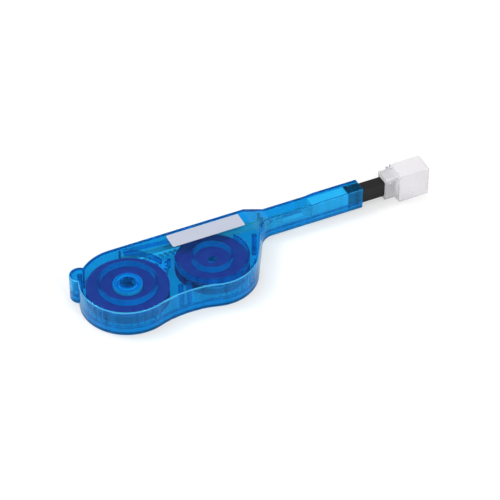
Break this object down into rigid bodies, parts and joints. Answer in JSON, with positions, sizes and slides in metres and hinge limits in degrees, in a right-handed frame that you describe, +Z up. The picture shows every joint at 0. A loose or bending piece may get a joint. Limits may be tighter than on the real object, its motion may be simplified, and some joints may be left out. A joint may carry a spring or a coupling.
{
  "type": "fibre connector cleaning pen",
  "caption": "Push-type cleaning pen for multi-fibre connectors: clear two-lobed housing with tape reels, a long neck, a sliding nose, a guide cap and a hinged dust lid.",
  "frame": {"origin": "bottom centre of the whole object, on the surface that the lower shell lies on", "axes": "+X from the lobes to the nose, +Y towards the straight back, +Z up"},
  "size_m": [0.2252, 0.055, 0.0193],
  "materials": {
    "clear_blue": "clear tinted, polished",
    "clear_blue_hub": "tinted, moulded",
    "label_paper": "satin film",
    "reel_dark": "moulded",
    "tape_white": "fine woven",
    "natural_plastic": "moulded",
    "steel": "bright",
    "black_plastic": "satin",
    "soft_pad": "soft",
    "clear_cap": "clear frosted"
  },
  "bodies": {
    "housing": {"lower_shell": "clear_blue", "upper_shell": "clear_blue", "label": "label_paper", "guide_pins": "steel", "brake_washer": "steel", "tape_feed": "tape_white", "tape_return": "tape_white", "reel_pawl": "clear_blue", "return_spring": "steel"},
    "slider": {"rack_slider": "natural_plastic", "nose_sleeve": "black_plastic", "tape_blade": "natural_plastic", "cleaning_tip": "soft_pad", "nose_tape": "tape_white"},
    "pinion": {"pinion": "natural_plastic"},
    "drive_wheel": {"drive_wheel": "natural_plastic"},
    "takeup": {"takeup_reel": "reel_dark", "takeup_pack": "tape_white", "serrated_hub": "clear_blue_hub"},
    "supply": {"supply_reel": "reel_dark", "supply_pack": "tape_white"},
    "cap": {"guide_cap": "clear_cap", "lid_hinge_pin": "steel"},
    "lid": {"dust_lid": "clear_cap"}
  },
  "joints": [
    {"name": "nose_push", "type": "slide", "parent": "housing", "child": "slider", "axis": [-1, 0, 0], "range_m": [0, 0.012], "stiffness_N_per_m": 400, "springref_m": -0.004, "deforming": ["return_spring"]},
    {"name": "pinion_turn", "type": "hinge", "parent": "housing", "child": "pinion", "pos_m": [-0.0609, 0.0156, 0.0042], "axis": [0, 0, 1], "range_deg": [0, 98.5]},
    {"name": "wheel_turn", "type": "hinge", "parent": "housing", "child": "drive_wheel", "pos_m": [-0.08415, 0, 0.0042], "axis": [0, 0, 1], "range_deg": [-33, 0]},
    {"name": "takeup_turn", "type": "hinge", "parent": "housing", "child": "takeup", "pos_m": [-0.08415, 0, 0.0085], "axis": [0, 0, 1], "continuous": true},
    {"name": "supply_turn", "type": "hinge", "parent": "housing", "child": "supply", "pos_m": [-0.03235, 0, 0.0085], "axis": [0, 0, 1], "continuous": true},
    {"name": "cap_pull", "type": "slide", "parent": "slider", "child": "cap", "axis": [1, 0, 0], "range_m": [0, 0.02]},
    {"name": "lid_hinge", "type": "hinge", "parent": "cap", "child": "lid", "pos_m": [0.09195, 0.0257, 0.00875], "axis": [0, 0, 1], "range_deg": [0, 150]}
  ],
  "couplings": [
    {"joint": "pinion_turn", "follows": "nose_push", "rad_per_m": 142.86},
    {"joint": "wheel_turn", "follows": "nose_push", "rad_per_m": -47.619},
    {"joint": "supply_turn", "follows": "takeup_turn", "ratio": 0.71429}
  ]
}
